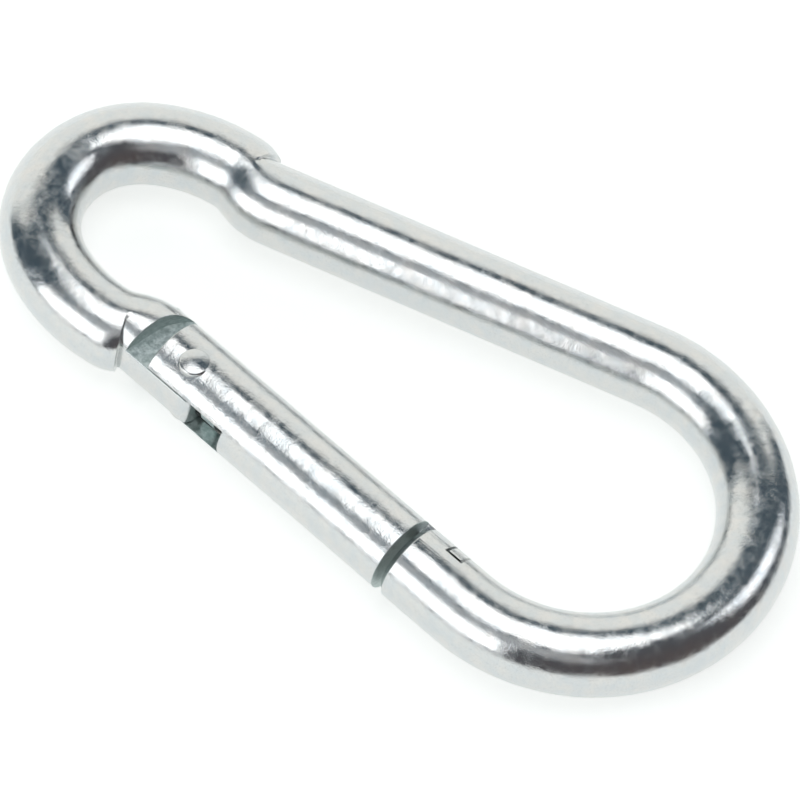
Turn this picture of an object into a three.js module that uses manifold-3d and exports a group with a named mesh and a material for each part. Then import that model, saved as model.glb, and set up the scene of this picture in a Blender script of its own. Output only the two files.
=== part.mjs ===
// A spring snap hook, DIN 5299 form C pattern: one round bar bent into a pear shape, closed by a
// straight sprung gate. The hook lies flat, its long axis along X with the wide bow at +X, the plain
// leg at +Y and the gate at -Y. The origin is under the middle of its box, where it rests.
// Millimetres and degrees; +Z is up.

import * as THREE from "three";
import { mergeVertices } from "three/addons/utils/BufferGeometryUtils.js";
import Module from "manifold-3d";

const wasm = await Module();
wasm.setup();

// ---- Driving dimensions --------------------------------------------------------------------

// The bent bar. Radii are those of its centreline.
const OVERALL_LENGTH = 100;
const BAR_DIAMETER = 9.4;
const BOW_RADIUS = 19.8;
const LEG_TAPER = 9.6; // each straight leg leans this much towards the long axis
const EYE_RADIUS = 12;
const EYE_FLARE_RADIUS = 19; // the eye opens out to this before each leg
const EYE_FLARE_ANGLE = 30;
const JOGGLE_RUN = 6.25; // length of the S-bend from the eye into each leg
const JOGGLE_TENSION = 0.44; // share of that length that each end's control point takes
const STEP_RUN = 2.3; // from the eye to the sharp step in the S-bend's outer skin
const STEP_HEIGHT = 1.1;

// The tongue, pressed flat at the hinge end of the bar.
const TONGUE_THICKNESS = 4.4;
const TONGUE_REACH = 2.65; // beyond the pivot
const TONGUE_CORNER = 2;
const TONGUE_ROOT = 0.5; // runs into the full bar behind the shoulder
const SHOULDER_LAND = 3.25; // bar left between the S-bend's step and the tongue's shoulder
const SHOULDER_CLEARANCE = 0.4; // round the swinging ears
const SHOULDER_LEAN = 8; // of the shoulder's outer half, back towards the eye

// The gate, rolled from sheet. Lengths are along it, from the pivot.
const GATE_WALL = 1.5;
const PIVOT_OFFSET = 0.8; // the pivot is this far outside the gate's centreline
const EAR_LENGTH = 4;
const SLOT_CLEARANCE = 0.15; // each side of the tongue
const OUTER_SLOT_END = 7.6;
const INNER_SLOT_END = 6.4;
const SEAM_WIDTH = 0.5;
const END_WALL = 1.5;
const END_WALL_HOLE_RADIUS = 1.2;

// The nose and its T-shaped latch.
const NOSE_STRAIGHT = 8.4; // from the bow to the nose's end
const NOSE_CHAMFER = 0.7;
const NOSE_GAP = 0.8;
const LATCH_NECK_WIDTH = 3;
const LATCH_HEAD_LENGTH = 1.7;
const LATCH_HEAD_SETBACK = 2.2; // of the head's underside from the gate's centreline
const NOSE_WALL = 3.65; // left between the nose's end and the latch pocket
const LATCH_CLEARANCE = 0.35;

// The rivet.
const RIVET_DIAMETER = 2.7;
const RIVET_HEAD_DIAMETER = 3.6; // upper
const RIVET_FOOT_DIAMETER = 4.8; // lower
const RIVET_RIM_HEIGHT = 0.8; // side of the head, above its seat
const RIVET_DOME_HEIGHT = 0.3;
const RIVET_SEAT_DEPTH = 0.8; // seat below the gate's surface over the pivot
const RIVET_RUNNING_CLEARANCE = 0.05;
const RIVET_HEAD_CLEARANCE = 0.1;

// The plunger and its spring, inside the gate.
const CONTACT_GAP = 0.3; // left between pieces that touch
const BORE_CLEARANCE = 0.3;
const PLUNGER_HEAD_LENGTH = 2.5;
const PLUNGER_STEM_LENGTH = 6;
const PLUNGER_EDGE = 0.5;
const WIRE_DIAMETER = 0.9;
const STEM_CLEARANCE = 0.3;
const ACTIVE_TURNS = 10;
const DEAD_TURN_GAP = 0.2;

// Facets.
const BAR_SIDES = 24;
const BEND_STEP_ANGLE = 6;
const JOGGLE_STEPS = 14;
const TUBE_SIDES = 36;
const PIN_SIDES = 36;
const SHOULDER_SIDES = 72;
const CORNER_STEPS = 6;
const DOME_STEPS = 5;
const WIRE_SIDES = 6;
const STEPS_PER_TURN = 14;

// ---- Derived dimensions --------------------------------------------------------------------

const barRadius = BAR_DIAMETER / 2;
const toCorner = 1 / Math.cos(Math.PI / BAR_SIDES); // the bar's corners stand this much further out
const taper = THREE.MathUtils.degToRad(LEG_TAPER);
const eyeX = BAR_DIAMETER + BOW_RADIUS + EYE_RADIUS - OVERALL_LENGTH; // bow's centre is at x = 0

// Where the eye's flare ends and each S-bend starts and ends.
const flare = THREE.MathUtils.degToRad(EYE_FLARE_ANGLE);
const flareStart = new THREE.Vector2(
  eyeX - EYE_RADIUS * Math.sin(flare),
  EYE_RADIUS * Math.cos(flare),
);
const flareCentre = new THREE.Vector2(
  flareStart.x + EYE_FLARE_RADIUS * Math.sin(flare),
  flareStart.y - EYE_FLARE_RADIUS * Math.cos(flare),
);
const flareEnd = new THREE.Vector2(flareCentre.x, flareCentre.y + EYE_FLARE_RADIUS);
const joggleEnd = pointOnLeg(flareEnd.x + JOGGLE_RUN);
const bowTangent = new THREE.Vector2(
  -BOW_RADIUS * Math.sin(taper),
  BOW_RADIUS * Math.cos(taper),
);

// The ears swing inside a shoulder that is round about the pivot.
const tongueHalf = TONGUE_THICKNESS / 2;
const slotHalf = tongueHalf + SLOT_CLEARANCE;
const earInnerReach = PIVOT_OFFSET + Math.sqrt(barRadius ** 2 - slotHalf ** 2);
const shoulderRadius = Math.hypot(EAR_LENGTH, earInnerReach) + SHOULDER_CLEARANCE;

// The pivot's foot on the gate's centreline, and lengths along the gate from it.
const stepX = flareEnd.x + STEP_RUN;
const pivotFoot = pointOnLeg(stepX + (shoulderRadius + SHOULDER_LAND) * Math.cos(taper));
const noseReach = pivotFoot.distanceTo(bowTangent) - NOSE_STRAIGHT;
const gateReach = noseReach - NOSE_GAP;
const pocketStart = noseReach + NOSE_WALL;
const latchHeadStart = pocketStart + LATCH_CLEARANCE;
const latchReach = latchHeadStart + LATCH_HEAD_LENGTH;
const pocketEnd = latchReach + LATCH_CLEARANCE;
const boreRadius = barRadius - GATE_WALL;
const cutReach = BAR_DIAMETER; // far enough to cut right through the bar or the gate

// The rivet's heights above the hook's middle plane.
const surfaceOverPivot = Math.sqrt(barRadius ** 2 - PIVOT_OFFSET ** 2);
const seatHeight = surfaceOverPivot - RIVET_SEAT_DEPTH;
const rimHeight = seatHeight + RIVET_RIM_HEIGHT;
const rivetTop = rimHeight + RIVET_DOME_HEIGHT;

// The plunger and the spring along the gate.
const plungerRadius = boreRadius - BORE_CLEARANCE;
const plungerStart = TONGUE_REACH + CONTACT_GAP;
const plungerHeadEnd = plungerStart + PLUNGER_HEAD_LENGTH;
const deadTurnPitch = WIRE_DIAMETER + DEAD_TURN_GAP;
const coilRadius = plungerRadius - WIRE_DIAMETER / 2;
const stemRadius = coilRadius - WIRE_DIAMETER / 2 - STEM_CLEARANCE;
const springStart = plungerHeadEnd + CONTACT_GAP + WIRE_DIAMETER / 2;
const springEnd = gateReach - END_WALL - CONTACT_GAP - WIRE_DIAMETER / 2;

// A point of the plain leg's straight centreline, above the long axis. The gate's leg mirrors it.
function pointOnLeg(x) {
  return new THREE.Vector2(x, BOW_RADIUS / Math.cos(taper) + x * Math.tan(taper));
}

// ---- Solids --------------------------------------------------------------------------------

// A closed geometry as a manifold-3d solid.
function solid(geometry) {
  geometry.deleteAttribute("normal");
  geometry.deleteAttribute("uv");
  const merged = mergeVertices(geometry, 1e-4);
  return new wasm.Manifold(
    new wasm.Mesh({
      numProp: 3,
      vertProperties: merged.attributes.position.array,
      triVerts: new Uint32Array(merged.index.array),
    }),
  );
}

// A named mesh from a manifold-3d solid.
function part(name, shape, material) {
  const { vertProperties, triVerts } = shape.getMesh();
  const geometry = new THREE.BufferGeometry();
  geometry.setAttribute("position", new THREE.BufferAttribute(vertProperties, 3));
  geometry.setIndex(new THREE.BufferAttribute(triVerts, 1));
  geometry.computeVertexNormals();
  const mesh = new THREE.Mesh(geometry, material);
  mesh.name = name;
  return mesh;
}

function box(low, high) {
  const size = new THREE.Vector3().subVectors(high, low);
  const centre = new THREE.Vector3().addVectors(low, high).multiplyScalar(0.5);
  return solid(new THREE.BoxGeometry(...size).translate(...centre));
}

// A profile of [radius, position] points, turned about X.
function turnedAboutX(profile, sides) {
  const points = profile.map(([radius, along]) => new THREE.Vector2(radius, along));
  const geometry = new THREE.LatheGeometry(points, sides);
  return solid(geometry.rotateY(Math.PI / sides).rotateZ(-Math.PI / 2));
}

// A profile of [radius, height] points, turned about Z.
function turnedAboutZ(profile, sides) {
  const points = profile.map(([radius, height]) => new THREE.Vector2(radius, height));
  return solid(new THREE.LatheGeometry(points, sides).rotateX(Math.PI / 2));
}

// A closed skin over rings of points, with a flat face over the first ring and the last.
function loft(rings) {
  const sides = rings[0].length;
  const last = (rings.length - 1) * sides;
  const triangles = [];
  for (let start = 0; start < last; start += sides) {
    for (let side = 0; side < sides; side += 1) {
      const near = start + side;
      const beside = start + ((side + 1) % sides);
      triangles.push(near, near + sides, beside + sides);
      triangles.push(near, beside + sides, beside);
    }
  }
  for (let side = 2; side < sides; side += 1) {
    triangles.push(0, side - 1, side);
    triangles.push(last, last + side, last + side - 1);
  }
  const geometry = new THREE.BufferGeometry().setFromPoints(rings.flat());
  return solid(geometry.setIndex(triangles));
}

// ---- The hook body -------------------------------------------------------------------------

// The S-bend from the eye into the plain leg, or its mirror image into the gate's leg.
function joggle(side) {
  const handle = JOGGLE_RUN * JOGGLE_TENSION;
  const points = [
    [flareEnd.x, flareEnd.y],
    [flareEnd.x + handle, flareEnd.y],
    [joggleEnd.x - handle * Math.cos(taper), joggleEnd.y - handle * Math.sin(taper)],
    [joggleEnd.x, joggleEnd.y],
  ].map(([x, y]) => new THREE.Vector2(x, side * y));
  return side > 0 ? points.reverse() : points;
}

function arc(centreX, centreY, radius, start, end) {
  return new THREE.EllipseCurve(centreX, centreY, radius, radius, start, end);
}

// The bar's centreline from the nose, round the bow, along the plain leg, round the eye and into
// the root of the tongue.
function hookCentreline() {
  const noseFoot = alongGate(noseReach + NOSE_CHAMFER);
  const bowStart = new THREE.Vector2(bowTangent.x, -bowTangent.y);
  const joggleStart = new THREE.Vector2(joggleEnd.x, -joggleEnd.y);
  const quarter = Math.PI / 2;
  return [
    new THREE.LineCurve(noseFoot, bowStart),
    arc(0, 0, BOW_RADIUS, -quarter - taper, quarter + taper),
    new THREE.LineCurve(bowTangent, joggleEnd),
    new THREE.CubicBezierCurve(...joggle(1)),
    arc(flareCentre.x, flareCentre.y, EYE_FLARE_RADIUS, quarter, quarter + flare),
    arc(eyeX, 0, EYE_RADIUS, quarter + flare, 3 * quarter - flare),
    arc(flareCentre.x, -flareCentre.y, EYE_FLARE_RADIUS, -quarter - flare, -quarter),
    new THREE.CubicBezierCurve(...joggle(-1)),
    new THREE.LineCurve(joggleStart, alongGate(-EAR_LENGTH)),
  ];
}

// How many straight steps stand for a piece of the centreline.
function stepsAlong(curve) {
  if (curve.isLineCurve) return 1;
  if (curve.isCubicBezierCurve) return JOGGLE_STEPS;
  const turn = Math.abs(curve.aEndAngle - curve.aStartAngle);
  return Math.ceil(turn / THREE.MathUtils.degToRad(BEND_STEP_ANGLE));
}

// How far a point, folded onto the plain leg's side, is outside the leg's straight centreline.
function besideLeg({ x, y }) {
  return (Math.abs(y) - pointOnLeg(x).y) * Math.cos(taper);
}

// How far the bar's outer skin stands from its centreline. Over an S-bend the leg's straight skin
// runs back to the step, and from there it climbs to the eye's.
function outerReach(centre) {
  if (centre.x <= flareEnd.x || centre.x >= joggleEnd.x) return barRadius;
  const legSkin = barRadius - besideLeg(centre);
  if (centre.x > stepX) return legSkin;
  const share = (centre.x - flareEnd.x) / STEP_RUN;
  return legSkin + THREE.MathUtils.lerp(besideLeg(flareEnd), STEP_HEIGHT, share ** 2);
}

// The bar's section at a point of its centreline. It has flats, not corners, at its radius, and a
// flat facet lies up and down.
function barSection(curve, t) {
  const centre = curve.getPoint(t);
  const tangent = curve.getTangent(t);
  const outward = new THREE.Vector2(tangent.y, -tangent.x);
  return Array.from({ length: BAR_SIDES }, (_, side) => {
    const angle = ((side + 0.5) * 2 * Math.PI) / BAR_SIDES;
    const reach = Math.cos(angle) > 0 ? outerReach(centre) : barRadius;
    const across = outward.clone().multiplyScalar(reach * Math.cos(angle) * toCorner);
    const up = barRadius * Math.sin(angle) * toCorner;
    return new THREE.Vector3(centre.x + across.x, centre.y + across.y, up);
  });
}

function bentBar() {
  const rings = hookCentreline().flatMap((curve, piece) => {
    const steps = stepsAlong(curve);
    const first = piece === 0 ? 0 : 1;
    const count = steps + 1 - first;
    return Array.from({ length: count }, (_, i) => barSection(curve, (i + first) / steps));
  });
  return loft(rings);
}

// A point of the gate's centreline at a distance from the pivot's foot towards the nose.
function alongGate(distance) {
  return new THREE.Vector2(
    pivotFoot.x + distance * Math.cos(taper),
    -pivotFoot.y - distance * Math.sin(taper),
  );
}

// Puts a solid drawn in the gate's own frame where the gate is. That frame has its origin on the
// pivot, +X towards the nose and +Y into the hook.
function atGate(shape) {
  const pivot = pivotPosition();
  return shape.rotate([0, 0, -LEG_TAPER]).translate([pivot.x, pivot.y, 0]);
}

function pivotPosition() {
  return new THREE.Vector2(
    pivotFoot.x - PIVOT_OFFSET * Math.sin(taper),
    -pivotFoot.y - PIVOT_OFFSET * Math.cos(taper),
  );
}

// The flat tongue: the bar's own section, cut down to a slab with rounded corners.
function tongue() {
  const inner = PIVOT_OFFSET + barRadius;
  const outer = PIVOT_OFFSET - barRadius;
  const root = -shoulderRadius - TONGUE_ROOT;
  const corner = TONGUE_CORNER;
  const outline = new THREE.Shape();
  outline.moveTo(root, outer);
  outline.absarc(TONGUE_REACH - corner, outer + corner, corner, -Math.PI / 2, 0);
  outline.absarc(TONGUE_REACH - corner, inner - corner, corner, 0, Math.PI / 2);
  outline.lineTo(root, inner);
  const options = { depth: TONGUE_THICKNESS, curveSegments: CORNER_STEPS, bevelEnabled: false };
  const slab = new THREE.ExtrudeGeometry(outline, options).translate(0, 0, -tongueHalf);
  const profile = [
    [0, root],
    [barRadius * toCorner, root],
    [barRadius * toCorner, TONGUE_REACH],
    [0, TONGUE_REACH],
  ];
  const bar = turnedAboutX(profile, BAR_SIDES).translate([0, PIVOT_OFFSET, 0]);
  return solid(slab).intersect(bar);
}

// What is pressed away over and under the tongue: round the pivot where the ears swing, and back
// along a leaning wall on the hook's outside.
function cheek(side) {
  const profile = [
    [0, tongueHalf],
    [shoulderRadius, tongueHalf],
    [shoulderRadius, cutReach],
    [0, cutReach],
  ];
  const swing = turnedAboutZ(profile, SHOULDER_SIDES);
  const outside = box(
    new THREE.Vector3(-shoulderRadius, -cutReach, tongueHalf),
    new THREE.Vector3(0, 0, cutReach),
  );
  const above = swing.add(outside.rotate([0, 0, -SHOULDER_LEAN]));
  return side > 0 ? above : above.mirror([0, 0, 1]);
}

function pinHole(radius) {
  const profile = [
    [0, -cutReach],
    [radius, -cutReach],
    [radius, cutReach],
    [0, cutReach],
  ];
  return turnedAboutZ(profile, PIN_SIDES);
}

// The nose's chamfered end, on the gate's centreline. Its inner end tapers away inside the bar.
function noseEnd() {
  const profile = [
    [0, noseReach],
    [(barRadius - NOSE_CHAMFER) * toCorner, noseReach],
    [barRadius * toCorner, noseReach + NOSE_CHAMFER],
    [0, noseReach + 2 * NOSE_CHAMFER],
  ];
  return turnedAboutX(profile, BAR_SIDES).translate([0, PIVOT_OFFSET, 0]);
}

// The T-shaped pocket, open to the inside of the hook: a neck from the nose's end and a groove
// across.
function latchPocket() {
  const neckHalf = LATCH_NECK_WIDTH / 2 + LATCH_CLEARANCE;
  const sheetInside = Math.sqrt(boreRadius ** 2 - (LATCH_NECK_WIDTH / 2) ** 2);
  const neckFloor = PIVOT_OFFSET + sheetInside - LATCH_CLEARANCE;
  const headFloor = PIVOT_OFFSET + LATCH_HEAD_SETBACK - LATCH_CLEARANCE;
  const neck = box(
    new THREE.Vector3(noseReach - NOSE_GAP, neckFloor, -neckHalf),
    new THREE.Vector3(pocketStart + LATCH_CLEARANCE, cutReach, neckHalf),
  );
  const head = box(
    new THREE.Vector3(pocketStart, headFloor, -cutReach),
    new THREE.Vector3(pocketEnd, cutReach, cutReach),
  );
  return neck.add(head);
}

function hookBody() {
  return bentBar()
    .add(atGate(noseEnd()))
    .subtract(atGate(cheek(1)))
    .subtract(atGate(cheek(-1)))
    .add(atGate(tongue()))
    .subtract(atGate(pinHole(RIVET_DIAMETER / 2 + RIVET_RUNNING_CLEARANCE)))
    .subtract(atGate(latchPocket()));
}

// ---- The gate, in its own frame ------------------------------------------------------------

// The rolled tube with its closed nose end.
function gateTube() {
  const innerEnd = gateReach - END_WALL;
  const profile = [
    [boreRadius, -EAR_LENGTH],
    [barRadius, -EAR_LENGTH],
    [barRadius, gateReach],
    [END_WALL_HOLE_RADIUS, gateReach],
    [END_WALL_HOLE_RADIUS, innerEnd],
    [boreRadius, innerEnd],
    [boreRadius, -EAR_LENGTH],
  ];
  return turnedAboutX(profile, TUBE_SIDES).translate([0, PIVOT_OFFSET, 0]);
}

// The T-shaped tab, cut from the inner side of the same rolled sheet.
function latchTab() {
  const root = gateReach - END_WALL / 2;
  const profile = [
    [boreRadius, root],
    [barRadius, root],
    [barRadius, latchReach],
    [boreRadius, latchReach],
    [boreRadius, root],
  ];
  const sheet = turnedAboutX(profile, TUBE_SIDES).translate([0, PIVOT_OFFSET, 0]);
  const neckHalf = LATCH_NECK_WIDTH / 2;
  const neck = box(
    new THREE.Vector3(root, PIVOT_OFFSET, -neckHalf),
    new THREE.Vector3(latchReach, cutReach, neckHalf),
  );
  const head = box(
    new THREE.Vector3(latchHeadStart, PIVOT_OFFSET + LATCH_HEAD_SETBACK, -cutReach),
    new THREE.Vector3(latchReach, cutReach, cutReach),
  );
  return sheet.intersect(neck.add(head));
}

// The slot that the tongue swings in: through both sides up to the inner slot's end, and on through
// the outer side alone.
function tongueSlot() {
  const both = box(
    new THREE.Vector3(-cutReach, -cutReach, -slotHalf),
    new THREE.Vector3(INNER_SLOT_END, cutReach, slotHalf),
  );
  const outer = box(
    new THREE.Vector3(0, -cutReach, -slotHalf),
    new THREE.Vector3(OUTER_SLOT_END, PIVOT_OFFSET, slotHalf),
  );
  return both.add(outer);
}

function seam() {
  return box(
    new THREE.Vector3(0, PIVOT_OFFSET, -SEAM_WIDTH / 2),
    new THREE.Vector3(gateReach + cutReach, cutReach, SEAM_WIDTH / 2),
  );
}

function rivetSeat(side) {
  const headDiameter = side > 0 ? RIVET_HEAD_DIAMETER : RIVET_FOOT_DIAMETER;
  const radius = headDiameter / 2 + RIVET_HEAD_CLEARANCE;
  const floor = seatHeight - RIVET_HEAD_CLEARANCE;
  const profile = [
    [0, floor],
    [radius, floor],
    [radius, cutReach],
    [0, cutReach],
  ];
  const above = turnedAboutZ(profile, PIN_SIDES);
  return side > 0 ? above : above.rotate([180, 0, 0]);
}

function gateSheet() {
  return gateTube()
    .add(latchTab())
    .subtract(tongueSlot())
    .subtract(seam())
    .subtract(pinHole(RIVET_DIAMETER / 2 + RIVET_RUNNING_CLEARANCE))
    .subtract(rivetSeat(1))
    .subtract(rivetSeat(-1));
}

// ---- Rivet, plunger and spring, in the gate's frame ----------------------------------------

// The dome's profile, from its rim to its top, as an arc of the sphere that fits both.
function domeProfile(rimRadius, height) {
  const sphere = (rimRadius ** 2 + height ** 2) / (2 * height);
  const edge = Math.asin(rimRadius / sphere);
  return Array.from({ length: DOME_STEPS + 1 }, (_, i) => {
    const angle = edge * (1 - i / DOME_STEPS);
    const radius = i < DOME_STEPS ? sphere * Math.sin(angle) : 0;
    return [radius, height - sphere * (1 - Math.cos(angle))];
  });
}

// One head's profile, from the shank out round its rim and up to the top of its dome.
function rivetHead(diameter) {
  const dome = domeProfile(diameter / 2, RIVET_DOME_HEIGHT);
  return [
    [RIVET_DIAMETER / 2, seatHeight],
    [diameter / 2, seatHeight],
    ...dome.map(([radius, height]) => [radius, rimHeight + height]),
  ];
}

function rivet() {
  const foot = rivetHead(RIVET_FOOT_DIAMETER).map(([radius, height]) => [radius, -height]);
  return turnedAboutZ([...foot.reverse(), ...rivetHead(RIVET_HEAD_DIAMETER)], PIN_SIDES);
}

function plunger() {
  const profile = [
    [0, plungerStart],
    [plungerRadius - PLUNGER_EDGE, plungerStart],
    [plungerRadius, plungerStart + PLUNGER_EDGE],
    [plungerRadius, plungerHeadEnd],
    [stemRadius, plungerHeadEnd],
    [stemRadius, plungerHeadEnd + PLUNGER_STEM_LENGTH],
    [0, plungerHeadEnd + PLUNGER_STEM_LENGTH],
  ];
  return turnedAboutX(profile, TUBE_SIDES).translate([0, PIVOT_OFFSET, 0]);
}

// The coil's centreline: one closed turn at each end and evenly pitched turns between.
class CoilCurve extends THREE.Curve {
  getPoint(t, target = new THREE.Vector3()) {
    const turn = t * (ACTIVE_TURNS + 2);
    const activeLength = springEnd - springStart - 2 * deadTurnPitch;
    const active = THREE.MathUtils.clamp(turn - 1, 0, ACTIVE_TURNS);
    const dead = Math.min(turn, 1) + Math.max(turn - 1 - ACTIVE_TURNS, 0);
    const along = springStart + dead * deadTurnPitch + (active * activeLength) / ACTIVE_TURNS;
    const angle = 2 * Math.PI * turn;
    return target.set(
      along,
      PIVOT_OFFSET + coilRadius * Math.cos(angle),
      coilRadius * Math.sin(angle),
    );
  }
}

function gateSpring() {
  const section = new THREE.Shape().absarc(0, 0, WIRE_DIAMETER / 2, 0, 2 * Math.PI);
  const options = {
    steps: STEPS_PER_TURN * (ACTIVE_TURNS + 2),
    extrudePath: new CoilCurve(),
    curveSegments: WIRE_SIDES / 2,
    bevelEnabled: false,
  };
  return solid(new THREE.ExtrudeGeometry(section, options));
}

// ---- Assembly ------------------------------------------------------------------------------

function steel(colour, roughness) {
  return new THREE.MeshStandardMaterial({ color: colour, roughness, metalness: 1 });
}

// The gate's own frame: the pivot is its origin, so the gate opens by turning it about Z.
function gateGroup() {
  const group = new THREE.Group();
  const pivot = pivotPosition();
  group.position.set(pivot.x, pivot.y, 0);
  group.rotation.z = -taper;
  group.add(part("gate", gateSheet(), steel(0xd4d7d8, 0.22)));
  group.add(part("hinge_rivet", rivet(), steel(0xc9cccd, 0.26)));
  group.add(part("plunger", plunger(), steel(0x9fa5a6, 0.4)));
  group.add(part("gate_spring", gateSpring(), steel(0x8d9293, 0.35)));
  return group;
}

const hook = new THREE.Group();
hook.add(part("hook_body", hookBody(), steel(0xd6d9da, 0.2)));
hook.add(gateGroup());

// The rivet's lower head is the lowest point, and the box's middle is over the origin.
hook.position.set(OVERALL_LENGTH / 2 - BOW_RADIUS - barRadius, 0, rivetTop);

const snapHook = new THREE.Group();
snapHook.add(hook);

export default snapHook;
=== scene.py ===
# A bright zinc-plated spring snap hook, lying on a pale table under soft studio light.
# Every piece is drawn in millimetres in the hook's own frame: the origin is the centre of the wide
# bow in the hook's middle plane, +X points away from the eye, +Y to the plain leg and +Z up.
# The gate's pieces are drawn in the gate's frame: the origin is its pivot, +X points to the nose
# and +Y into the hook.

import math

import bmesh
import bpy
from mathutils import Matrix, Vector


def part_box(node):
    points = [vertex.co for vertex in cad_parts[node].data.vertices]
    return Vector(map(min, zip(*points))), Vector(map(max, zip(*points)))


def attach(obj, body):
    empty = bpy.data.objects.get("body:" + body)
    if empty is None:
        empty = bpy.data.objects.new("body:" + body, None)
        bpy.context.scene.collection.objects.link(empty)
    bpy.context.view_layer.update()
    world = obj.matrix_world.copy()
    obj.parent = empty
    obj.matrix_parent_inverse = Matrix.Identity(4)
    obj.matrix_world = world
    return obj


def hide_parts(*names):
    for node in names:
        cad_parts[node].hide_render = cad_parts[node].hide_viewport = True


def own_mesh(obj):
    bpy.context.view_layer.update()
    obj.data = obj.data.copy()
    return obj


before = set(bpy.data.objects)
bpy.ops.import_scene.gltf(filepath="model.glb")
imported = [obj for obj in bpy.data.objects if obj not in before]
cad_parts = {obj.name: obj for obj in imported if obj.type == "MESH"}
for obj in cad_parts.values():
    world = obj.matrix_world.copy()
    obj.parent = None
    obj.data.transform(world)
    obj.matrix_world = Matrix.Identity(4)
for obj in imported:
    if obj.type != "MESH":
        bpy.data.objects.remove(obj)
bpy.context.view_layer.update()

MM = 0.001
QUARTER = math.pi / 2

# ---- Dimensions of the CAD model, in millimetres -------------------------------------------

OVERALL_LENGTH = 100.0
BAR_RADIUS = 4.7
BOW_RADIUS = 19.8
TAPER = math.radians(9.6)
EYE_RADIUS = 12.0
FLARE_RADIUS = 19.0
FLARE_ANGLE = math.radians(30)
JOGGLE_RUN = 6.25
JOGGLE_TENSION = 0.44
STEP_RUN = 2.3
STEP_HEIGHT = 1.1

TONGUE_THICKNESS = 4.4
TONGUE_REACH = 2.65
TONGUE_CORNER = 2.0
TONGUE_ROOT = 0.5
SHOULDER_LAND = 3.25
SHOULDER_CLEARANCE = 0.4
SHOULDER_LEAN = math.radians(8)

GATE_WALL = 1.5
PIVOT_OFFSET = 0.8
EAR_LENGTH = 4.0
SLOT_CLEARANCE = 0.15
OUTER_SLOT_END = 7.6
INNER_SLOT_END = 6.4
SEAM_WIDTH = 0.5
END_WALL = 1.5
END_WALL_HOLE_RADIUS = 1.2

NOSE_STRAIGHT = 8.4
NOSE_CHAMFER = 0.7
NOSE_GAP = 0.8
LATCH_NECK_WIDTH = 3.0
LATCH_HEAD_LENGTH = 1.7
LATCH_HEAD_SETBACK = 2.2
NOSE_WALL = 3.65
LATCH_CLEARANCE = 0.35

RIVET_RADIUS = 1.35
RIVET_HEAD_RADIUS = 1.8
RIVET_FOOT_RADIUS = 2.4
RIVET_RIM_HEIGHT = 0.8
RIVET_DOME_HEIGHT = 0.3
RIVET_SEAT_DEPTH = 0.8
RIVET_RUNNING_CLEARANCE = 0.05
RIVET_RIM_ROUND = 0.35

CONTACT_GAP = 0.3
BORE_CLEARANCE = 0.3
PLUNGER_HEAD_LENGTH = 2.5
PLUNGER_STEM_LENGTH = 6.0
PLUNGER_EDGE = 0.5
WIRE_RADIUS = 0.45
STEM_CLEARANCE = 0.3
ACTIVE_TURNS = 10
DEAD_TURN_GAP = 0.2

# ---- Fineness of the visible meshes --------------------------------------------------------

BAR_SIDES = 96
BEND_STEP_ANGLE = math.radians(2)
JOGGLE_STEPS = 40
TUBE_SIDES = 128
PIN_SIDES = 64
CORNER_STEPS = 16
WIRE_SIDES = 12
STEPS_PER_TURN = 36
SHARP_ANGLE = math.radians(40)

# The leg's straight skin beyond the step is a piece of its own. It starts just past the step, lies a
# hair inside the bar where the two join, and its hidden side stays within the bar.
SKIN_START = 0.5
SKIN_OVERLAP = 1.0
SKIN_RADIUS = BAR_RADIUS - 0.003
HIDDEN_REACH = BAR_RADIUS / 2

# ---- Derived dimensions --------------------------------------------------------------------

eye_x = 2 * BAR_RADIUS + BOW_RADIUS + EYE_RADIUS - OVERALL_LENGTH
flare_start = Vector((
    eye_x - EYE_RADIUS * math.sin(FLARE_ANGLE),
    EYE_RADIUS * math.cos(FLARE_ANGLE),
))
flare_centre = Vector((
    flare_start.x + FLARE_RADIUS * math.sin(FLARE_ANGLE),
    flare_start.y - FLARE_RADIUS * math.cos(FLARE_ANGLE),
))
flare_end = Vector((flare_centre.x, flare_centre.y + FLARE_RADIUS))
step_x = flare_end.x + STEP_RUN


def point_on_leg(x):
    """A point of the plain leg's straight centreline. The gate's leg mirrors it."""
    return Vector((x, BOW_RADIUS / math.cos(TAPER) + x * math.tan(TAPER)))


joggle_end = point_on_leg(flare_end.x + JOGGLE_RUN)
bow_tangent = Vector((-BOW_RADIUS * math.sin(TAPER), BOW_RADIUS * math.cos(TAPER)))
tongue_half = TONGUE_THICKNESS / 2
slot_half = tongue_half + SLOT_CLEARANCE
ear_inner_reach = PIVOT_OFFSET + math.sqrt(BAR_RADIUS**2 - slot_half**2)
shoulder_radius = math.hypot(EAR_LENGTH, ear_inner_reach) + SHOULDER_CLEARANCE
pivot_foot = point_on_leg(step_x + (shoulder_radius + SHOULDER_LAND) * math.cos(TAPER))
nose_reach = (pivot_foot - bow_tangent).length - NOSE_STRAIGHT
gate_reach = nose_reach - NOSE_GAP
pocket_start = nose_reach + NOSE_WALL
latch_head_start = pocket_start + LATCH_CLEARANCE
latch_reach = latch_head_start + LATCH_HEAD_LENGTH
pocket_end = latch_reach + LATCH_CLEARANCE
bore_radius = BAR_RADIUS - GATE_WALL
cut_reach = 2 * BAR_RADIUS

surface_over_pivot = math.sqrt(BAR_RADIUS**2 - PIVOT_OFFSET**2)
seat_height = surface_over_pivot - RIVET_SEAT_DEPTH
rim_height = seat_height + RIVET_RIM_HEIGHT

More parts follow.
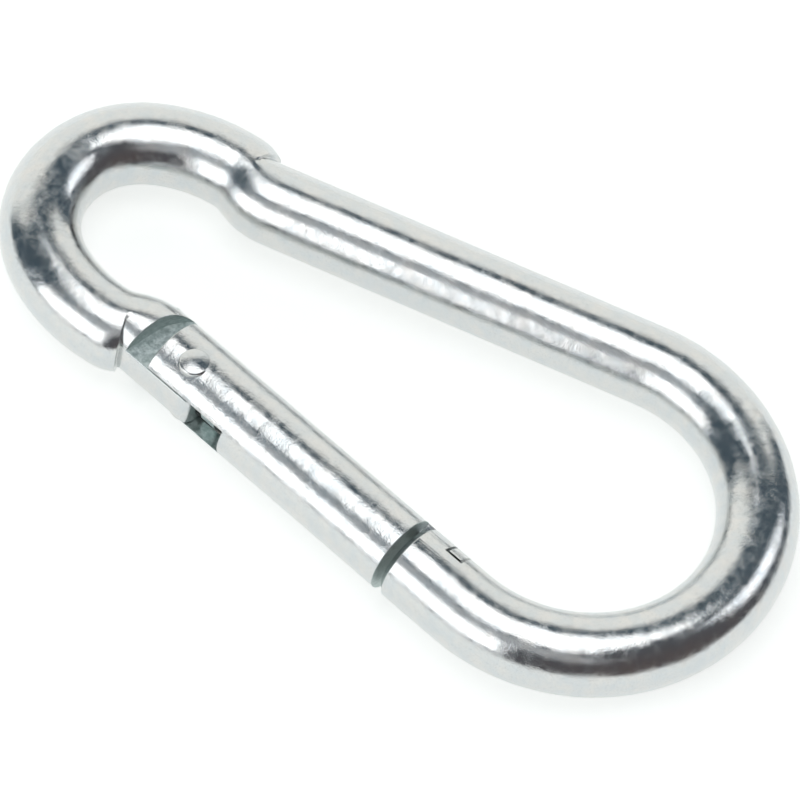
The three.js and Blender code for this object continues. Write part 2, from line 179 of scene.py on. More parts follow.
plunger_radius = bore_radius - BORE_CLEARANCE
plunger_start = TONGUE_REACH + CONTACT_GAP
plunger_head_end = plunger_start + PLUNGER_HEAD_LENGTH
dead_turn_pitch = 2 * WIRE_RADIUS + DEAD_TURN_GAP
coil_radius = plunger_radius - WIRE_RADIUS
stem_radius = coil_radius - WIRE_RADIUS - STEM_CLEARANCE
spring_start = plunger_head_end + CONTACT_GAP + WIRE_RADIUS
spring_end = gate_reach - END_WALL - CONTACT_GAP - WIRE_RADIUS

# How the press-marked faces are told from the plated ones: how square to an axis a face is, how
# nearly it faces the pivot, and how far the marks reach past the shoulder, the slot and the end.
FLATNESS = 0.95
FACING_SHARE = 0.7
PRESSED_REACH = shoulder_radius + 1.5
PRESSED_SLOT_END = OUTER_SLOT_END + 1
PRESSED_END = 1.2

# ---- Frames --------------------------------------------------------------------------------

hook_low, hook_high = (Vector(corner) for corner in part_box("hook_body"))
hook_origin = Vector((
    hook_high.x - (BOW_RADIUS + BAR_RADIUS) * MM,
    0.0,
    (hook_low.z + hook_high.z) / 2,
))
hook_frame = Matrix.Translation(hook_origin) @ Matrix.Scale(MM, 4)
pivot = Vector((
    pivot_foot.x - PIVOT_OFFSET * math.sin(TAPER),
    -pivot_foot.y - PIVOT_OFFSET * math.cos(TAPER),
    0.0,
))
gate_frame = Matrix.Translation(pivot) @ Matrix.Rotation(-TAPER, 4, "Z")

# ---- Meshes --------------------------------------------------------------------------------


def new_object(name, bm):
    """Turns a bmesh into an object in the scene, with its faces outwards."""
    bmesh.ops.recalc_face_normals(bm, faces=bm.faces)
    mesh = bpy.data.meshes.new(name)
    bm.to_mesh(mesh)
    bm.free()
    obj = bpy.data.objects.new(name, mesh)
    bpy.context.scene.collection.objects.link(obj)
    return obj


def loft(name, rings):
    """A skin over rings of points, with a face over each end."""
    bm = bmesh.new()
    verts = [[bm.verts.new(point) for point in ring] for ring in rings]
    sides = len(rings[0])
    for near, far in zip(verts, verts[1:]):
        for side in range(sides):
            beside = (side + 1) % sides
            bm.faces.new((near[side], far[side], far[beside], near[beside]))
    bm.faces.new(verts[0])
    bm.faces.new(list(reversed(verts[-1])))
    return new_object(name, bm)


def turned(name, profile, sides, axis):
    """A profile of (radius, position) points, turned about an axis. It closes on itself where it
    has a hole, and a point on the axis closes an end."""
    bm = bmesh.new()
    loops = []
    for radius, along in profile:
        if radius == 0:
            loops.append([bm.verts.new(on_axis(axis, 0, 0, along))])
            continue
        loops.append([
            bm.verts.new(on_axis(axis, radius, 2 * math.pi * (side + 0.5) / sides, along))
            for side in range(sides)
        ])
    hollow = all(radius > 0 for radius, _ in profile)
    spans = list(zip(loops, loops[1:]))
    if hollow:
        spans.append((loops[-1], loops[0]))
    for near, far in spans:
        for side in range(sides):
            beside = (side + 1) % sides
            corners = [near[side % len(near)], far[side % len(far)]]
            corners += [far[beside % len(far)], near[beside % len(near)]]
            bm.faces.new(list(dict.fromkeys(corners)))
    return new_object(name, bm)


def on_axis(axis, radius, angle, along):
    """A point at a radius and an angle round the X or Z axis."""
    across = (radius * math.cos(angle), radius * math.sin(angle))
    if axis == "X":
        return Vector((along, across[0], across[1]))
    return Vector((across[0], across[1], along))


def box(low, high):
    """A box between its lowest and highest corners."""
    size = Vector(high) - Vector(low)
    centre = (Vector(high) + Vector(low)) / 2
    bm = bmesh.new()
    place = Matrix.Translation(centre) @ Matrix.Diagonal((*size, 1))
    bmesh.ops.create_cube(bm, size=1, matrix=place)
    return new_object("tool", bm)


def moved(obj, matrix):
    """Moves the mesh itself, and turns its faces back outwards after a mirroring."""
    obj.data.transform(matrix)
    if matrix.determinant() < 0:
        obj.data.flip_normals()
    return obj


def combine(obj, tool, operation):
    """Cuts the tool from the piece, joins it on or keeps what both hold. The tool is used up."""
    modifier = obj.modifiers.new(operation, "BOOLEAN")
    modifier.operation = operation
    modifier.solver = "MANIFOLD"
    modifier.object = tool
    depsgraph = bpy.context.evaluated_depsgraph_get()
    result = bpy.data.meshes.new_from_object(obj.evaluated_get(depsgraph))
    obj.modifiers.clear()
    obj.data = result
    bpy.data.objects.remove(tool)
    return obj


def cut(obj, tool):
    return combine(obj, tool, "DIFFERENCE")


def join(obj, tool):
    return combine(obj, tool, "UNION")


def paint_pressed(obj, material):
    """Gives the press-marked faces a second material: the flat tongue, its shoulder, the slots and
    the ends at the nose."""
    to_gate = (hook_frame @ gate_frame).inverted()
    turn = to_gate.to_3x3().normalized()
    obj.data.materials.append(material)
    for face in obj.data.polygons:
        place = to_gate @ face.center
        normal = turn @ face.normal
        flat = abs(normal.z) > FLATNESS and abs(place.z) < slot_half + SLOT_CLEARANCE
        wall = -PRESSED_REACH < place.x < 0 and is_shoulder(place, normal)
        end = abs(normal.x) > FLATNESS and abs(place.x - gate_reach) < PRESSED_END
        if (place.x < PRESSED_SLOT_END and (flat or wall)) or end:
            face.material_index = 1


def is_shoulder(place, normal):
    """Whether a face stands upright above or below the tongue, facing the pivot."""
    upright = abs(normal.z) < 1 - FLATNESS
    beyond_tongue = abs(place.z) > tongue_half
    facing = -(normal.x * place.x + normal.y * place.y)
    faces_pivot = facing > FACING_SHARE * math.hypot(place.x, place.y)
    return upright and beyond_tongue and faces_pivot


def finish(obj, name, body, material, node):
    """Scales a piece into the row's frame, shades it and ties it to its body."""
    obj.name = name
    obj.data.name = name
    moved(obj, hook_frame)
    obj.data.shade_smooth()
    obj.data.set_sharp_from_angle(angle=SHARP_ANGLE)
    obj.data.materials.clear()
    obj.data.materials.append(material)
    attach(obj, body)
    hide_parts(node)
    return obj


# ---- The hook body -------------------------------------------------------------------------


def arc(centre, radius, start, end):
    """Points on an arc, from a start angle to an end angle."""
    steps = math.ceil(abs(end - start) / BEND_STEP_ANGLE)
    angles = [start + (end - start) * i / steps for i in range(steps + 1)]
    return [centre + radius * Vector((math.cos(a), math.sin(a))) for a in angles]


def joggle():
    """The S-bend from the eye into the plain leg, as a Bezier curve."""
    handle = JOGGLE_RUN * JOGGLE_TENSION
    points = [
        flare_end,
        flare_end + Vector((handle, 0)),
        joggle_end - handle * Vector((math.cos(TAPER), math.sin(TAPER))),
        joggle_end,
    ]
    return [bezier(points, i / JOGGLE_STEPS) for i in range(JOGGLE_STEPS + 1)]


def bezier(points, t):
    """A point of the Bezier curve with these control points, at a share t of the way."""
    while len(points) > 1:
        points = [a.lerp(b, t) for a, b in zip(points, points[1:])]
    return points[0]


def mirrored(points):
    """The same path on the gate's side, run the other way."""
    return [Vector((p.x, -p.y)) for p in reversed(points)]


def along_gate(distance):
    """A point of the gate's centreline at a distance from the pivot's foot."""
    step = distance * Vector((math.cos(TAPER), -math.sin(TAPER)))
    return Vector((pivot_foot.x, -pivot_foot.y)) + step


def centreline():
    """The bar's centreline from the nose, round the bow and the eye, into the tongue's root."""
    bow_start = Vector((bow_tangent.x, -bow_tangent.y))
    flare = arc(flare_centre, FLARE_RADIUS, QUARTER, QUARTER + FLARE_ANGLE)
    eye = arc(Vector((eye_x, 0)), EYE_RADIUS, QUARTER + FLARE_ANGLE, 3 * QUARTER - FLARE_ANGLE)
    s_bend = joggle()
    pieces = [
        [along_gate(nose_reach + NOSE_CHAMFER), bow_start],
        arc(Vector((0, 0)), BOW_RADIUS, -QUARTER - TAPER, QUARTER + TAPER),
        [bow_tangent, joggle_end],
        list(reversed(s_bend)),
        flare,
        eye,
        mirrored(flare),
        mirrored(list(reversed(s_bend))),
        [Vector((joggle_end.x, -joggle_end.y)), along_gate(-EAR_LENGTH)],
    ]
    points = list(pieces[0])
    for piece in pieces[1:]:
        points += piece[1:]
    return points


def beside_leg(point):
    """How far a point is outside the nearer leg's straight centreline."""
    return (abs(point.y) - point_on_leg(point.x).y) * math.cos(TAPER)


def outer_reach(centre):
    """How far the swept bar's outer skin stands from its centreline. It climbs from the eye to the
    step in an S-bend, and beyond that it hides under the leg's straight skin."""
    if centre.x <= flare_end.x or centre.x >= joggle_end.x:
        return BAR_RADIUS
    if centre.x > step_x:
        return HIDDEN_REACH
    start = beside_leg(flare_end)
    share = (centre.x - flare_end.x) / STEP_RUN
    rise = start + (STEP_HEIGHT - start) * share**2
    return BAR_RADIUS - beside_leg(centre) + rise


def section(centre, outward, outer, inner, half_height):
    """A ring square to the bar, which reaches further on one side than on the other."""
    ring = []
    for side in range(BAR_SIDES):
        angle = 2 * math.pi * (side + 0.5) / BAR_SIDES
        reach = outer if math.cos(angle) > 0 else inner
        point = centre.to_3d() + outward * (reach * math.cos(angle))
        point.z = half_height * math.sin(angle)
        ring.append(point)
    return ring


def bar_section(before, centre, after):
    """The bar's ring at one point of its centreline, between the points beside it."""
    tangent = (after - before).normalized()
    outward = Vector((tangent.y, -tangent.x, 0))
    return section(centre, outward, outer_reach(centre), BAR_RADIUS, BAR_RADIUS)


def straight_skin(side):
    """One leg's straight outer skin, over the part of the S-bend that bends away from it."""
    along = Vector((math.cos(TAPER), side * math.sin(TAPER), 0))
    outward = Vector((-math.sin(TAPER), side * math.cos(TAPER), 0))
    rings = []
    for point in joggle():
        if point.x < step_x + SKIN_START:
            continue
        centre = Vector((point.x, side * point.y))
        outer = SKIN_RADIUS - beside_leg(point)
        rings.append(section(centre, outward, outer, HIDDEN_REACH, SKIN_RADIUS))
    rings.append([point + along * SKIN_OVERLAP for point in rings[-1]])
    return loft("tool", rings)


def bent_bar():
    """The round bar along its whole centreline, with the rise to each step."""
    points = centreline()
    before = [points[0], *points[:-1]]
    after = [*points[1:], points[-1]]
    return loft("hook", [bar_section(b, p, a) for b, p, a in zip(before, points, after)])


def tongue():
    """The flat tongue: the bar's own section, cut down to a slab with rounded corners."""
    inner = PIVOT_OFFSET + BAR_RADIUS
    outer = PIVOT_OFFSET - BAR_RADIUS
    root = -shoulder_radius - TONGUE_ROOT
    tip = TONGUE_REACH - TONGUE_CORNER
    outline = [Vector((root, outer))]
    for centre_y, start in ((outer + TONGUE_CORNER, -QUARTER), (inner - TONGUE_CORNER, 0)):
        for i in range(CORNER_STEPS + 1):
            angle = start + QUARTER * i / CORNER_STEPS
            corner = Vector((math.cos(angle), math.sin(angle))) * TONGUE_CORNER
            outline.append(Vector((tip, centre_y)) + corner)
    outline.append(Vector((root, inner)))
    slab = loft("tongue", [[(p.x, p.y, z) for p in outline] for z in (-tongue_half, tongue_half)])
    profile = [(0, root), (BAR_RADIUS, root), (BAR_RADIUS, TONGUE_REACH), (0, TONGUE_REACH)]
    bar = turned("tool", profile, BAR_SIDES, "X")
    moved(bar, Matrix.Translation((0, PIVOT_OFFSET, 0)))
    return combine(slab, bar, "INTERSECT")


def cheek(side):
    """What is pressed away over or under the tongue."""
    profile = [
        (0, tongue_half),
        (shoulder_radius, tongue_half),
        (shoulder_radius, cut_reach),
        (0, cut_reach),
    ]
    swing = turned("tool", profile, 2 * TUBE_SIDES, "Z")
    outside = box((-shoulder_radius, -cut_reach, tongue_half), (0, 0, cut_reach))
    moved(outside, Matrix.Rotation(-SHOULDER_LEAN, 4, "Z"))
    return moved(join(swing, outside), Matrix.Diagonal((1, 1, side, 1)))


def pin_hole():
    """The rivet's hole, cut right through."""
    radius = RIVET_RADIUS + RIVET_RUNNING_CLEARANCE
    profile = [(0, -cut_reach), (radius, -cut_reach), (radius, cut_reach), (0, cut_reach)]
    return turned("tool", profile, PIN_SIDES, "Z")


def nose_end():
    """The chamfered end of the nose."""
    profile = [
        (0, nose_reach),
        (BAR_RADIUS - NOSE_CHAMFER, nose_reach),
        (BAR_RADIUS, nose_reach + NOSE_CHAMFER),
        (0, nose_reach + 2 * NOSE_CHAMFER),
    ]
    end = turned("tool", profile, BAR_SIDES, "X")
    return moved(end, Matrix.Translation((0, PIVOT_OFFSET, 0)))


def latch_pocket():
    """The T-shaped pocket, open to the inside of the hook."""
    neck_half = LATCH_NECK_WIDTH / 2 + LATCH_CLEARANCE
    sheet_inside = math.sqrt(bore_radius**2 - (LATCH_NECK_WIDTH / 2) ** 2)
    neck_floor = PIVOT_OFFSET + sheet_inside - LATCH_CLEARANCE
    head_floor = PIVOT_OFFSET + LATCH_HEAD_SETBACK - LATCH_CLEARANCE
    neck = box(
        (nose_reach - NOSE_GAP, neck_floor, -neck_half),
        (pocket_start + LATCH_CLEARANCE, cut_reach, neck_half),
    )
    head = box((pocket_start, head_floor, -cut_reach), (pocket_end, cut_reach, cut_reach))
    return join(neck, head)


def hook_body():
    """The bent bar with its steps, nose, tongue, rivet hole and latch pocket."""
    hook = bent_bar()
    for side in (1, -1):
        join(hook, straight_skin(side))
    join(hook, moved(nose_end(), gate_frame))
    for side in (1, -1):
        cut(hook, moved(cheek(side), gate_frame))
    join(hook, moved(tongue(), gate_frame))
    cut(hook, moved(pin_hole(), gate_frame))
    cut(hook, moved(latch_pocket(), gate_frame))
    return hook


# ---- The gate ------------------------------------------------------------------------------


def gate_tube():
    """The rolled tube, closed at the nose but for a round hole."""
    inner_end = gate_reach - END_WALL
    profile = [
        (bore_radius, -EAR_LENGTH),
        (BAR_RADIUS, -EAR_LENGTH),
        (BAR_RADIUS, gate_reach),
        (END_WALL_HOLE_RADIUS, gate_reach),
        (END_WALL_HOLE_RADIUS, inner_end),
        (bore_radius, inner_end),
    ]
    tube = turned("gate", profile, TUBE_SIDES, "X")
    return moved(tube, Matrix.Translation((0, PIVOT_OFFSET, 0)))


def latch_tab():
    """The T-shaped tab at the nose, cut from the same rolled sheet."""
    root = gate_reach - END_WALL / 2
    profile = [
        (bore_radius, root),
        (BAR_RADIUS, root),
        (BAR_RADIUS, latch_reach),
        (bore_radius, latch_reach),
    ]
    sheet = turned("tab", profile, TUBE_SIDES, "X")
    moved(sheet, Matrix.Translation((0, PIVOT_OFFSET, 0)))
    neck_half = LATCH_NECK_WIDTH / 2
    neck = box((root, PIVOT_OFFSET, -neck_half), (latch_reach, cut_reach, neck_half))
    head = box(
        (latch_head_start, PIVOT_OFFSET + LATCH_HEAD_SETBACK, -cut_reach),
        (latch_reach, cut_reach, cut_reach),
    )
    return combine(sheet, join(neck, head), "INTERSECT")


def gate_sheet():
    """The tube and its tab, with the slots for the tongue, the seam and the rivet's hole."""
    gate = gate_tube()
    join(gate, latch_tab())
    cut(gate, box((-cut_reach, -cut_reach, -slot_half), (INNER_SLOT_END, cut_reach, slot_half)))
    cut(gate, box((0, -cut_reach, -slot_half), (OUTER_SLOT_END, PIVOT_OFFSET, slot_half)))
    seam_half = SEAM_WIDTH / 2
    seam_end = gate_reach + cut_reach
    cut(gate, box((0, PIVOT_OFFSET, -seam_half), (seam_end, cut_reach, seam_half)))
    cut(gate, pin_hole())
    return moved(gate, gate_frame)


# ---- Rivet, plunger and spring -------------------------------------------------------------


def rivet_head(radius):
    """A domed head from its seat to its top, with a rolled rim."""
    top = rim_height + RIVET_DOME_HEIGHT
    sphere = (radius**2 + RIVET_DOME_HEIGHT**2) / (2 * RIVET_DOME_HEIGHT)
    lean = math.asin((radius - RIVET_RIM_ROUND) / sphere)
    rim_top = sphere * math.cos(lean) + top - sphere
    profile = [(RIVET_RADIUS, seat_height), (radius, seat_height)]
    for i in range(CORNER_STEPS + 1):
        angle = (QUARTER - lean) * i / CORNER_STEPS
        across = radius - RIVET_RIM_ROUND * (1 - math.cos(angle))
        up = rim_top - RIVET_RIM_ROUND * (1 - math.sin(angle))
        profile.append((across, up))
    for i in range(1, CORNER_STEPS):
        angle = lean * (1 - i / CORNER_STEPS)
        across = sphere * math.sin(angle)
        up = top - sphere * (1 - math.cos(angle))
        profile.append((across, up))
    profile.append((0, top))
    return profile


def rivet():
    """The shank with a head at each end, the wider one underneath."""
    foot = [(radius, -height) for radius, height in reversed(rivet_head(RIVET_FOOT_RADIUS))]
    pin = turned("rivet", foot + rivet_head(RIVET_HEAD_RADIUS), PIN_SIDES, "Z")
    return moved(pin, gate_frame)


def plunger():
    """The pusher: a head that fits the bore, and a stem inside the spring."""
    profile = [
        (0, plunger_start),
        (plunger_radius - PLUNGER_EDGE, plunger_start),
        (plunger_radius, plunger_start + PLUNGER_EDGE),
        (plunger_radius, plunger_head_end),
        (stem_radius, plunger_head_end),
        (stem_radius, plunger_head_end + PLUNGER_STEM_LENGTH),
        (0, plunger_head_end + PLUNGER_STEM_LENGTH),
    ]
    pusher = turned("plunger", profile, TUBE_SIDES, "X")
    return moved(pusher, gate_frame @ Matrix.Translation((0, PIVOT_OFFSET, 0)))


def coil_point(turn):
    """A point of the coil: one closed turn at each end and evenly pitched turns between."""
    active_length = spring_end - spring_start - 2 * dead_turn_pitch
    active = min(max(turn - 1, 0), ACTIVE_TURNS)
    dead = min(turn, 1) + max(turn - 1 - ACTIVE_TURNS, 0)
    along = spring_start + dead * dead_turn_pitch + active * active_length / ACTIVE_TURNS
    return on_axis("X", coil_radius, 2 * math.pi * turn, along)


def wire_section(turn):
    """The wire's ring at a number of turns along the coil."""
    half_step = 0.5 / STEPS_PER_TURN
    centre = coil_point(turn)
    tangent = (coil_point(turn + half_step) - coil_point(turn - half_step)).normalized()
    radial = Vector((0, centre.y, centre.z)).normalized()
    binormal = tangent.cross(radial).normalized()
    ring = []
    for side in range(WIRE_SIDES):
        angle = 2 * math.pi * side / WIRE_SIDES
        across = radial * math.cos(angle) + binormal * math.sin(angle)
        ring.append(centre + WIRE_RADIUS * across)
    return ring


def gate_spring():
    """The coil of round wire."""
    steps = STEPS_PER_TURN * (ACTIVE_TURNS + 2)
    coil = loft("gate_spring", [wire_section(i / STEPS_PER_TURN) for i in range(steps + 1)])
    return moved(coil, gate_frame @ Matrix.Translation((0, PIVOT_OFFSET, 0)))


# ---- Materials -----------------------------------------------------------------------------


# Depths and radii are in millimetres, and a pattern's size is its number of spots per millimetre.
EDGE_RADIUS = 0.15
EDGE_SAMPLES = 6
COOL_ZINC = (0.62, 0.65, 0.66, 1)
WARM_ZINC = (0.68, 0.68, 0.665, 1)
DARK_ZINC = (0.42, 0.44, 0.44, 1)
DARK_SHARE = 0.5
CLOUDS_PER_MM = 0.45
DULL_PATCHES_PER_MM = 1.1
POLISHED_ROUGHNESS = 0.1
DULL_ROUGHNESS = 0.26
GRAIN_PER_MM = 6.0
GRAIN_DEPTH = 0.022
GRAIN_PATCHES_PER_MM = 0.6
FAINTEST_GRAIN = 0.35
WAVES_PER_MM = 0.25
WAVE_DEPTH = 0.08
RIPPLES_PER_MM = 2.2
RIPPLE_PATCHES_PER_MM = 0.3
FAINTEST_RIPPLE = 0.25
GATE_RIPPLE_DEPTH = 0.03

PRESSED_DARK = (0.36, 0.44, 0.43, 1)
PRESSED_LIGHT = (0.70, 0.77, 0.76, 1)
PRESSED_LOW_ROUGHNESS = 0.3
PRESSED_HIGH_ROUGHNESS = 0.5
PRESSED_CLOUDS_PER_MM = 1.6
PRESSED_CLOUD_STRETCH = (1, 1, 0.25)
PRESS_MARKS_PER_MM = 1.0
PRESS_MARK_STRETCH = (1.2, 1.2, 0.12)
PRESS_MARK_DEPTH = 0.08
PRESSED_GRAIN_PER_MM = 3.0
PRESSED_GRAIN_DEPTH = 0.03


class Nodes:
    """Adds nodes to one material and links them."""

    def __init__(self, name):
        self.material = bpy.data.materials.new(name)
        self.material.use_nodes = True
        self.tree = self.material.node_tree
        self.shader = self.tree.nodes["Principled BSDF"]

    def add(self, kind, **settings):
        """A new node with these settings."""
        node = self.tree.nodes.new(kind)
        for key, value in settings.items():
            setattr(node, key, value)
        return node

    def feed(self, socket, value):
        """Gives a socket a link from another socket, or a plain value."""
        if isinstance(value, bpy.types.NodeSocket):
            self.tree.links.new(value, socket)
        else:
            socket.default_value = value

    def millimetres(self, stretch=(1, 1, 1)):
        """The piece's own coordinates in millimetres, each divided by its stretch."""
        place = self.add("ShaderNodeTexCoord").outputs["Object"]
        scaled = self.add("ShaderNodeVectorMath", operation="MULTIPLY")
        self.feed(scaled.inputs[0], place)
        scaled.inputs[1].default_value = [1 / (MM * s) for s in stretch]
        return scaled.outputs["Vector"]

    def noise(self, place, per_mm, detail=2.0, roughness=0.5, distortion=0.0):
        """Random spots from 0 to 1, so many to a millimetre."""
        node = self.add("ShaderNodeTexNoise")
        self.feed(node.inputs["Vector"], place)
        node.inputs["Scale"].default_value = per_mm
        node.inputs["Detail"].default_value = detail
        node.inputs["Roughness"].default_value = roughness
        node.inputs["Distortion"].default_value = distortion
        return node.outputs["Fac"]

    def spread(self, value, low, high, to_low, to_high):
        """Maps a range of a value to another range, held at its ends."""
        node = self.add("ShaderNodeMapRange", clamp=True)
        self.feed(node.inputs["Value"], value)
        node.inputs["From Min"].default_value = low
        node.inputs["From Max"].default_value = high
        node.inputs["To Min"].default_value = to_low
        node.inputs["To Max"].default_value = to_high
        return node.outputs["Result"]

    def multiply(self, a, b):
        """The product of two numbers."""
        node = self.add("ShaderNodeMath", operation="MULTIPLY")
        self.feed(node.inputs[0], a)
        self.feed(node.inputs[1], b)
        return node.outputs["Value"]

    def blend(self, share, a, b):
        """A colour between two colours."""
        node = self.add("ShaderNodeMix", data_type="RGBA")
        self.feed(node.inputs["Factor"], share)
        self.feed(node.inputs["A"], a)
        self.feed(node.inputs["B"], b)
        return node.outputs["Result"]

    def bevel(self, radius):
        """A normal that rounds the edges."""
        node = self.add("ShaderNodeBevel", samples=EDGE_SAMPLES)
        node.inputs["Radius"].default_value = radius * MM
        return node.outputs["Normal"]

    def bump(self, height, depth, normal):
        """A normal tilted by a height from 0 to 1, that stands for a depth in millimetres."""
        node = self.add("ShaderNodeBump")
        node.inputs["Strength"].default_value = 1
        node.inputs["Distance"].default_value = depth * MM
        self.feed(node.inputs["Height"], height)
        self.feed(node.inputs["Normal"], normal)
        return node.outputs["Normal"]


def plated_relief(nodes, place, grain, ripple_depth):
    """The plating's normal: rounded edges, gentle waves, patches of ripples, and patchy grain."""
    waves = nodes.noise(place, WAVES_PER_MM, detail=1)
    normal = nodes.bump(waves, WAVE_DEPTH, nodes.bevel(EDGE_RADIUS))
    if ripple_depth > 0:
        ripples = nodes.noise(place, RIPPLES_PER_MM, detail=3, roughness=0.6, distortion=0.6)
        patches = nodes.noise(place, RIPPLE_PATCHES_PER_MM)
        share = nodes.spread(patches, 0.42, 0.58, FAINTEST_RIPPLE, 1)
        normal = nodes.bump(nodes.multiply(ripples, share), ripple_depth, normal)
    patches = nodes.noise(place, GRAIN_PATCHES_PER_MM, detail=2)
    share = nodes.spread(patches, 0.4, 0.6, FAINTEST_GRAIN, 1)
    return nodes.bump(nodes.multiply(grain, share), GRAIN_DEPTH, normal)


def plated(name, ripple_depth=0.0):
    """Bright zinc plating on steel, cloudy and finely grained, with ripples where it has a depth
    for them."""
    nodes = Nodes(name)
    shader = nodes.shader
    place = nodes.millimetres()
    clouds = nodes.noise(place, CLOUDS_PER_MM, detail=4, roughness=0.6)
    grain = nodes.noise(place, GRAIN_PER_MM, detail=2, roughness=0.7)
    tint = nodes.blend(nodes.spread(clouds, 0.35, 0.65, 0, 1), COOL_ZINC, WARM_ZINC)
    spots = nodes.spread(grain, 0.55, 0.75, 0, DARK_SHARE)
    nodes.feed(shader.inputs["Base Color"], nodes.blend(spots, tint, DARK_ZINC))
    shader.inputs["Metallic"].default_value = 1
    patches = nodes.noise(place, DULL_PATCHES_PER_MM, detail=3, roughness=0.6)
    roughness = nodes.spread(patches, 0.35, 0.7, POLISHED_ROUGHNESS, DULL_ROUGHNESS)
    nodes.feed(shader.inputs["Roughness"], roughness)
    nodes.feed(shader.inputs["Normal"], plated_relief(nodes, place, grain, ripple_depth))
    return nodes.material


def pressed_steel():
    """The dull greenish plating in the press marks: the tongue, its shoulder and the slots."""
    nodes = Nodes("pressed_zinc")
    shader = nodes.shader
    cloud_place = nodes.millimetres(PRESSED_CLOUD_STRETCH)
    clouds = nodes.noise(cloud_place, PRESSED_CLOUDS_PER_MM, detail=4, roughness=0.7)
    shade = nodes.spread(clouds, 0.35, 0.65, 0, 1)
    nodes.feed(shader.inputs["Base Color"], nodes.blend(shade, PRESSED_DARK, PRESSED_LIGHT))
    shader.inputs["Metallic"].default_value = 1
    roughness = nodes.spread(clouds, 0.3, 0.7, PRESSED_LOW_ROUGHNESS, PRESSED_HIGH_ROUGHNESS)
    nodes.feed(shader.inputs["Roughness"], roughness)

    mark_place = nodes.millimetres(PRESS_MARK_STRETCH)
    marks = nodes.noise(mark_place, PRESS_MARKS_PER_MM, detail=3, roughness=0.6)
    normal = nodes.bump(marks, PRESS_MARK_DEPTH, nodes.bevel(EDGE_RADIUS))
    grain = nodes.noise(nodes.millimetres(), PRESSED_GRAIN_PER_MM, detail=2, roughness=0.7)
    nodes.feed(shader.inputs["Normal"], nodes.bump(grain, PRESSED_GRAIN_DEPTH, normal))
    return nodes.material


# ---- Studio, in metres ---------------------------------------------------------------------

FLOOR_HALF = 6.0
FLOOR_COLOUR = (0.6, 0.61, 0.6)
FLOOR_GLOW = 1.05
BACKDROP_AZIMUTH = 222
BACKDROP_DISTANCE = 1.2
BACKDROP_HALF_WIDTH = 1.55
BACKDROP_HEIGHT = 1.5
BACKDROP_COLOUR = (0.3, 0.3, 0.29)
BACKDROP_GLOW = 2.7
PAPER_ROUGHNESS = 0.9
ROOM_WARM_SIDE = (0.9, -0.4, 0)
ROOM_COOL = (0.075, 0.105, 0.13, 1)
ROOM_WARM = (0.12, 0.10, 0.10, 1)
DOWN = (0, 0, -1)
WHITE = (1, 1, 1)
DAYLIGHT = (0.95, 0.97, 1)


def direction(azimuth, elevation):
    """A unit vector. Azimuth 0 is towards -Y and 90 towards +X, both level."""
    azimuth = math.radians(azimuth)
    elevation = math.radians(elevation)
    level = math.cos(elevation)
    return Vector((math.sin(azimuth) * level, -math.cos(azimuth) * level, math.sin(elevation)))


def softbox(name, centre, facing, size, radiance, colour):
    """A rectangular light with the same brightness all over."""
    width, height = size
    lamp = bpy.data.lights.new(name, "AREA")
    lamp.shape = "RECTANGLE"
    lamp.size = width
    lamp.size_y = height
    lamp.energy = radiance * math.pi * width * height
    lamp.color = colour
    light = bpy.data.objects.new(name, lamp)
    turn = Vector(facing).to_track_quat("-Z", "Y").to_matrix().to_4x4()
    light.matrix_world = Matrix.Translation(centre) @ turn
    bpy.context.scene.collection.objects.link(light)


def glowing(name, colour, strength):
    """A matt paper that gives off a light of its own."""
    material = bpy.data.materials.new(name)
    material.use_nodes = True
    shader = material.node_tree.nodes["Principled BSDF"]
    shader.inputs["Base Color"].default_value = (*colour, 1)
    shader.inputs["Roughness"].default_value = PAPER_ROUGHNESS
    shader.inputs["Emission Color"].default_value = (*colour, 1)
    shader.inputs["Emission Strength"].default_value = strength
    return material


def add_floor():
    """A plain pale floor at the foot of the hook."""
    bm = bmesh.new()
    bmesh.ops.create_grid(bm, x_segments=1, y_segments=1, size=FLOOR_HALF)
    floor = new_object("floor", bm)
    floor.data.materials.append(glowing("floor_paper", FLOOR_COLOUR, FLOOR_GLOW))


def add_backdrop():
    """An upright sheet of pale paper behind the hook."""
    back = direction(BACKDROP_AZIMUTH, 0)
    side = back.cross(Vector((0, 0, 1))) * BACKDROP_HALF_WIDTH
    foot = back * BACKDROP_DISTANCE
    bm = bmesh.new()
    up = Vector((0, 0, BACKDROP_HEIGHT))
    corners = [foot - side, foot + side, foot + side + up, foot - side + up]
    bm.faces.new([bm.verts.new(corner) for corner in corners])
    backdrop = new_object("backdrop", bm)
    backdrop.data.materials.append(glowing("backdrop_paper", BACKDROP_COLOUR, BACKDROP_GLOW))


def add_world():
    """A dim room, warmer on the right and cooler on the left."""
    world = bpy.data.worlds.new("room")
    world.use_nodes = True
    tree = world.node_tree
    look = tree.nodes.new("ShaderNodeTexCoord").outputs["Generated"]
    across = tree.nodes.new("ShaderNodeVectorMath")
    across.operation = "DOT_PRODUCT"
    across.inputs[1].default_value = ROOM_WARM_SIDE
    tree.links.new(look, across.inputs[0])
    ramp = tree.nodes.new("ShaderNodeValToRGB")
    ramp.color_ramp.elements[0].color = ROOM_COOL
    ramp.color_ramp.elements[1].color = ROOM_WARM
    tree.links.new(across.outputs["Value"], ramp.inputs["Fac"])
    sky = tree.nodes["Background"]
    tree.links.new(ramp.outputs["Color"], sky.inputs["Color"])
    bpy.context.scene.world = world
    bpy.context.scene.view_settings.view_transform = "Standard"


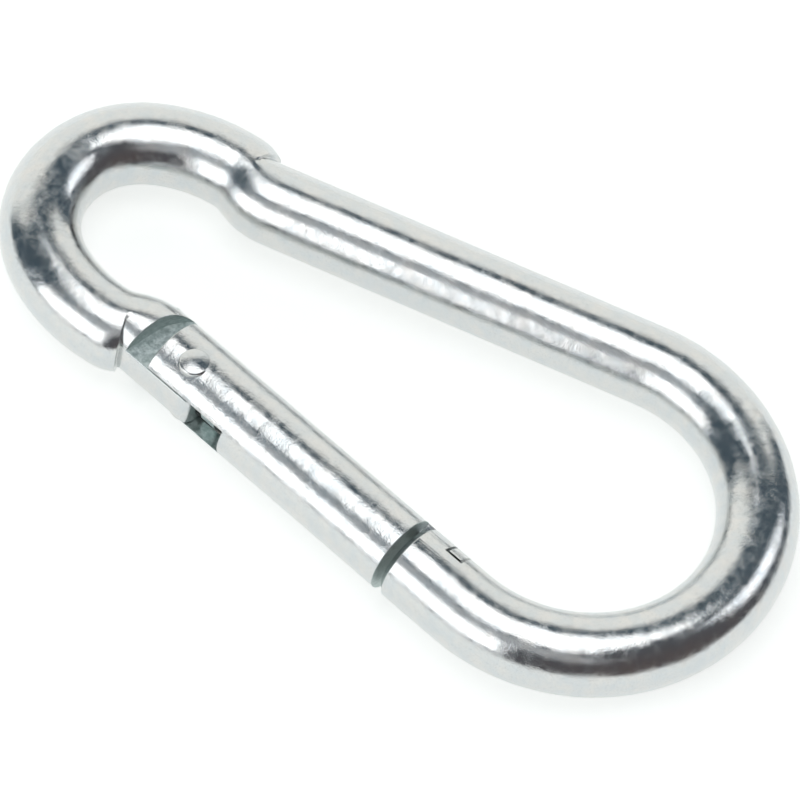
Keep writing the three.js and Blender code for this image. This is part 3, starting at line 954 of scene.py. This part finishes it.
def add_studio():
    """The room, its floor and backdrop, and four soft lights."""
    add_world()
    add_floor()
    add_backdrop()
    softbox("overhead_box", (-0.04, -0.05, 1.3), DOWN, (1.05, 1.0), 1.9, WHITE)
    softbox("ceiling_glow", (0.1, -1.08, 1.32), DOWN, (2.1, 0.7), 0.4, WHITE)
    softbox("front_box", (-0.61, -1.2, 0.6), (0, 1, 0), (1.34, 0.96), 2.0, WHITE)
    softbox("rear_box", (1.2, 1.15, 1.2), (-1, 0, 0), (1.25, 1.05), 1.8, DAYLIGHT)


# ---- Camera --------------------------------------------------------------------------------

CAMERA_AZIMUTH = 24.056
CAMERA_ELEVATION = 57.825
CAMERA_ROLL = math.radians(10.971)
CAMERA_DISTANCE = 0.7829
CAMERA_LENS = 315
SENSOR_WIDTH = 36
AIM_OFFSET = Vector((2.079, -1.293)) * MM


def add_camera():
    """A long lens above the gate's side, a little to the right."""
    camera = bpy.data.objects.new("camera", bpy.data.cameras.new("camera"))
    camera.data.lens = CAMERA_LENS
    camera.data.sensor_width = SENSOR_WIDTH
    aim = Vector((AIM_OFFSET.x, AIM_OFFSET.y, hook_origin.z))
    back = direction(CAMERA_AZIMUTH, CAMERA_ELEVATION)
    turn = back.to_track_quat("Z", "Y").to_matrix().to_4x4()
    roll = Matrix.Rotation(CAMERA_ROLL, 4, "Z")
    camera.matrix_world = Matrix.Translation(aim + back * CAMERA_DISTANCE) @ turn @ roll
    bpy.context.scene.collection.objects.link(camera)
    bpy.context.scene.camera = camera


# ---- The whole scene -----------------------------------------------------------------------


def squash_spring(spring):
    """Gives the spring a mesh of its own."""
    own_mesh(spring)


add_camera()
add_studio()

zinc = plated("hook_zinc")
gate_zinc = plated("gate_zinc", GATE_RIPPLE_DEPTH)
pressed = pressed_steel()
bar = finish(hook_body(), "hook_bar", "hook", zinc, "hook_body")
paint_pressed(bar, pressed)
sheet = finish(gate_sheet(), "gate_sheet", "gate", gate_zinc, "gate")
paint_pressed(sheet, pressed)
finish(rivet(), "rivet_pin", "gate", zinc, "hinge_rivet")
finish(plunger(), "pusher", "plunger", pressed, "plunger")
spring = finish(gate_spring(), "coil_spring", "gate", zinc, "gate_spring")
squash_spring(spring)
